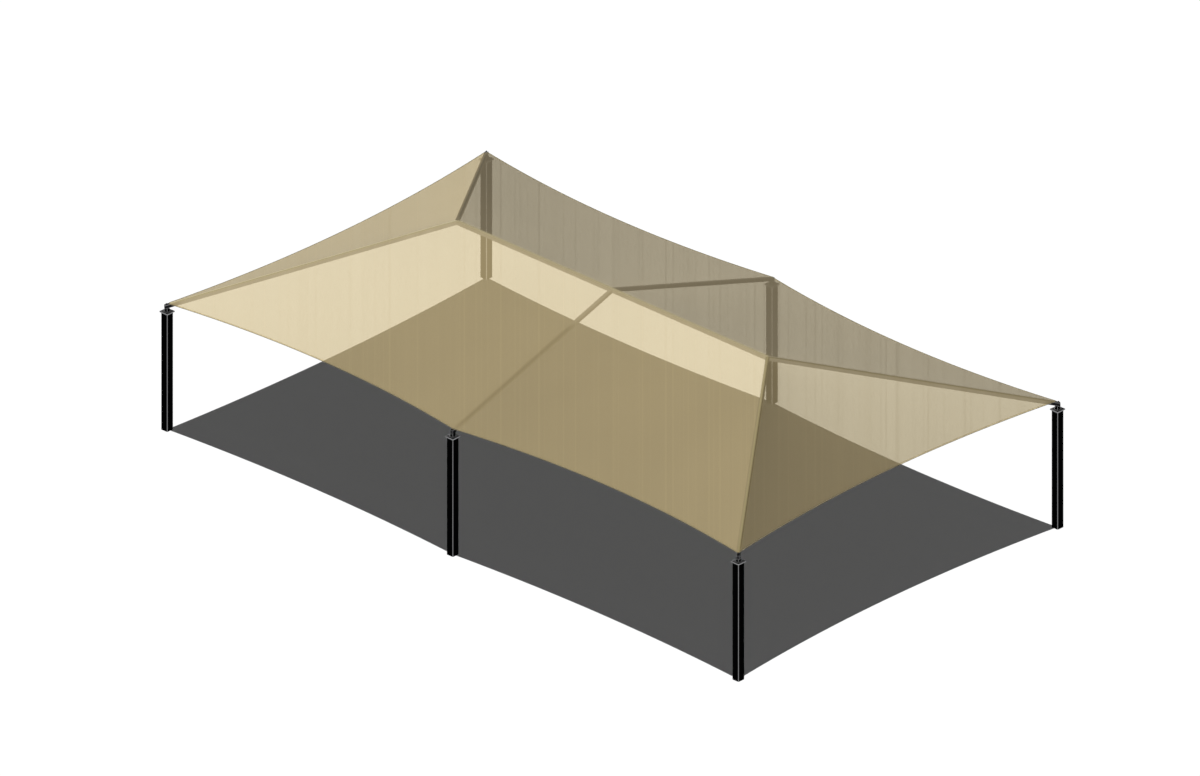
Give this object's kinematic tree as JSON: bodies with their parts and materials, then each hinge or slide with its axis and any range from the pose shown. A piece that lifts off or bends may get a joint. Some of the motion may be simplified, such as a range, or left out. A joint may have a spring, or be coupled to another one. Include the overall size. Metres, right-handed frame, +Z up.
{
  "type": "hip shade structure",
  "caption": "Long hip-roof shade: knitted fabric with hollow cable-edged sides, stretched over a ridge-and-rafter tube frame on square steel posts, open all round.",
  "frame": {"origin": "on the ground, at the centre of the plan of the six posts", "axes": "+X along the ridge towards the right end, +Y from the front to the back, +Z up"},
  "size_m": [18.542, 10.922, 4.9319],
  "materials": {
    "post_black": "satin black powder coat",
    "frame_black": "satin black powder coat",
    "sand_fabric": "knitted shade cloth, sand, partly see-through",
    "cable_steel": "galvanised wire rope"
  },
  "bodies": {
    "root": {"post_front_left": "post_black", "post_front_middle": "post_black", "post_front_right": "post_black", "post_back_left": "post_black", "post_back_middle": "post_black", "post_back_right": "post_black", "cap_plate_front_left": "post_black", "cap_plate_front_middle": "post_black", "cap_plate_front_right": "post_black", "cap_plate_back_left": "post_black", "cap_plate_back_middle": "post_black", "cap_plate_back_right": "post_black", "base_plate_front_left": "frame_black", "base_plate_front_middle": "frame_black", "base_plate_front_right": "frame_black", "base_plate_back_left": "frame_black", "base_plate_back_middle": "frame_black", "base_plate_back_right": "frame_black", "neck_front_left": "frame_black", "neck_front_middle": "frame_black", "neck_front_right": "frame_black", "neck_back_left": "frame_black", "neck_back_middle": "frame_black", "neck_back_right": "frame_black", "rafter_front_left": "frame_black", "rafter_front_middle": "frame_black", "rafter_front_right": "frame_black", "rafter_back_left": "frame_black", "rafter_back_middle": "frame_black", "rafter_back_right": "frame_black", "ridge_beam": "frame_black", "canopy_front_left": "sand_fabric", "canopy_front_right": "sand_fabric", "canopy_back_left": "sand_fabric", "canopy_back_right": "sand_fabric", "canopy_left_end": "sand_fabric", "canopy_right_end": "sand_fabric", "edge_cable_front_left": "cable_steel", "edge_cable_front_right": "cable_steel", "edge_cable_back_left": "cable_steel", "edge_cable_back_right": "cable_steel", "edge_cable_left_end": "cable_steel", "edge_cable_right_end": "cable_steel"}
  },
  "joints": []
}
